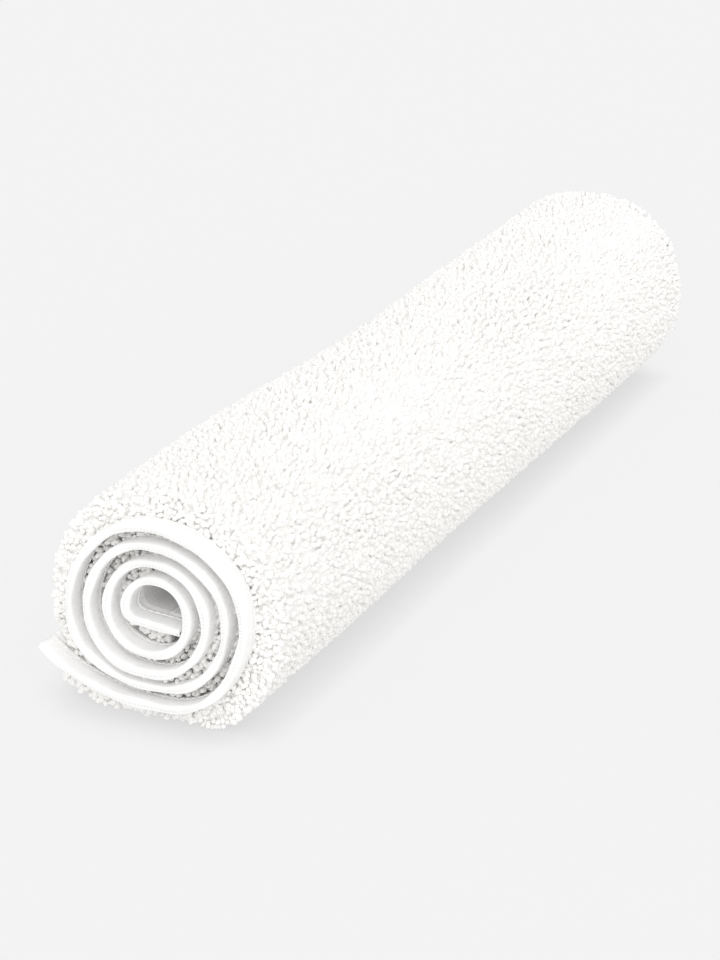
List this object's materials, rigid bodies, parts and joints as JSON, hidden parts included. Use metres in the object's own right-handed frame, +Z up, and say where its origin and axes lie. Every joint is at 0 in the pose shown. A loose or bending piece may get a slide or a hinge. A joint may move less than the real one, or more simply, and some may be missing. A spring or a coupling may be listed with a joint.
{
  "type": "rolled bath mat",
  "caption": "Tufted cotton bath mat with hemmed edges, rolled up with its pile outwards and its outer end lying loose.",
  "frame": {"origin": "on the floor under the middle of the object: midway along the roll, and midway between the tip of the loose outer end and the far side of the roll", "axes": "+Y along the roll, away from the front end of the winding; +Z up; +X to the right as seen from the front end; the loose outer end lies on the -X side"},
  "size_m": [0.1034, 0.5, 0.0966],
  "materials": {
    "ground_cloth": "plain woven cotton, matte",
    "back_coat": "thin matte latex coat that the weave shows through",
    "pile": "short nubby cotton tufts, matte and soft",
    "hem_tape": "smooth woven cotton, matte",
    "thread": "sewing thread with a slight sheen"
  },
  "bodies": {
    "root": {"ground_cloth": "ground_cloth", "back_coat": "back_coat", "pile": "pile", "front_side_hem": "hem_tape", "rear_side_hem": "hem_tape", "inner_end_hem": "hem_tape", "outer_end_hem": "hem_tape", "front_side_needle_thread": "thread", "rear_side_needle_thread": "thread", "inner_end_needle_thread": "thread", "outer_end_needle_thread": "thread", "front_side_bobbin_thread": "thread", "rear_side_bobbin_thread": "thread", "inner_end_bobbin_thread": "thread", "outer_end_bobbin_thread": "thread"}
  },
  "joints": []
}
